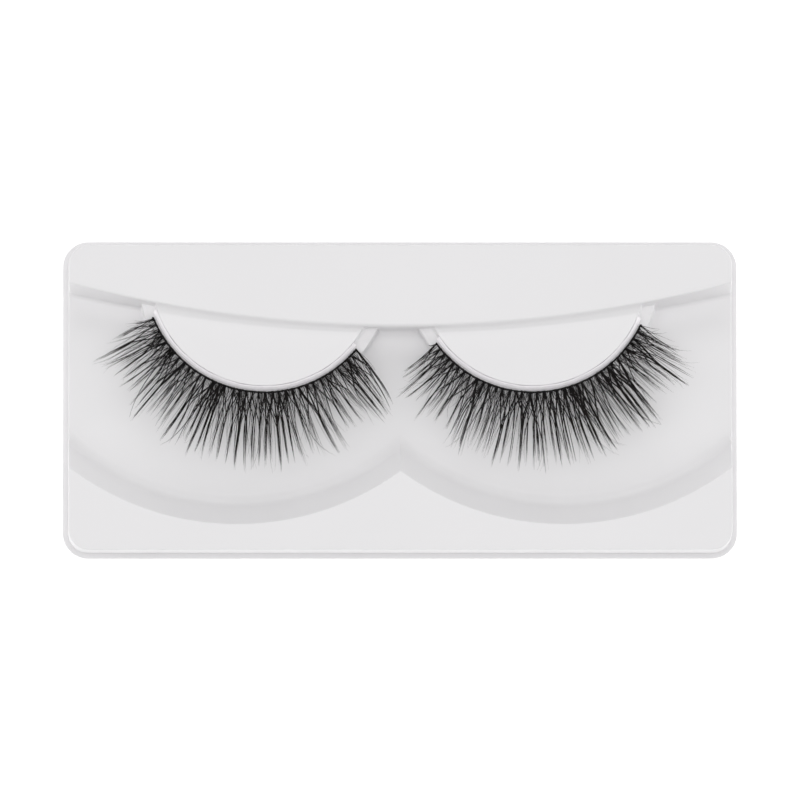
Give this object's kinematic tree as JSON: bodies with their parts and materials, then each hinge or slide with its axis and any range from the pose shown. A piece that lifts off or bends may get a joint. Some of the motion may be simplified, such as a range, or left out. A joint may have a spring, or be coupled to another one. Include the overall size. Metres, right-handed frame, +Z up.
{
  "type": "pair of false eyelash strips on a moulded tray",
  "caption": "Two curved false eyelash strips resting on the half-moon bosses of a thin white moulded plastic tray.",
  "frame": {"origin": "under the middle of the tray, on the surface that its rim stands on", "axes": "+X along the tray to the right, +Y to the back deck, +Z up; the lashes reach towards -Y"},
  "size_m": [0.105, 0.0494, 0.0103],
  "materials": {
    "tray_plastic": "satin white moulded sheet",
    "clear_band": "clear flexible band",
    "lash_fibre": "soft black fibre"
  },
  "bodies": {
    "root": {"tray": "tray_plastic", "left_band": "clear_band", "left_fringe": "lash_fibre", "right_band": "clear_band", "right_fringe": "lash_fibre"}
  },
  "joints": []
}
